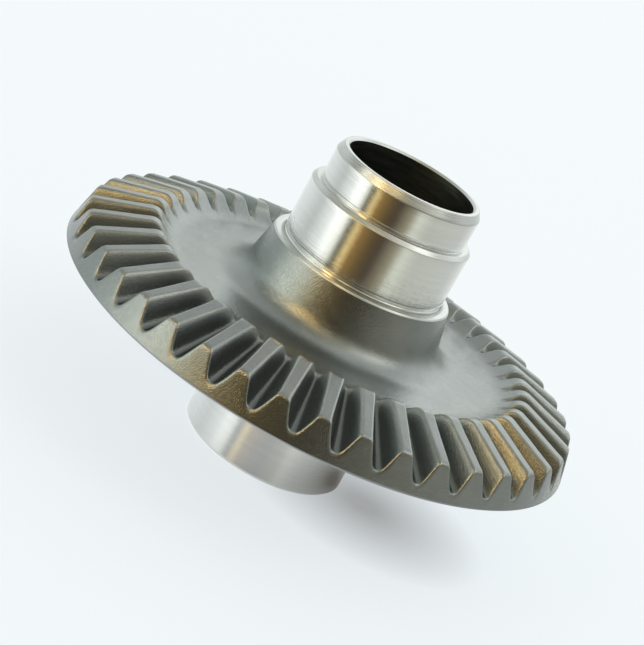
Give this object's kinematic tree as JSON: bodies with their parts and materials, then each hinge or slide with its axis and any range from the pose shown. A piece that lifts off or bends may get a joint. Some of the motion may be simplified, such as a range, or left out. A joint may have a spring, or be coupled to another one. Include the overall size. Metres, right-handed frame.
{
  "type": "bevel crown gear on stepped hub tube",
  "caption": "Straight-tooth bevel crown wheel with a dished web and drafted boss, on a ground hub tube with bearing and seal journals and a splined bore.",
  "frame": {"origin": "centre of the hub tube's lower end face, on the gear axis", "axes": "+Z along the gear axis, from the plain back of the wheel to its toothed side; the wheel turns about Z; one tooth gap is centred on +X"},
  "size_m": [0.159, 0.159, 0.093],
  "materials": {
    "forged_steel": "shot-blasted dark grey forging",
    "ground_steel": "ground bright"
  },
  "bodies": {
    "root": {"crown_wheel": "forged_steel", "hub_tube": "ground_steel"}
  },
  "joints": []
}
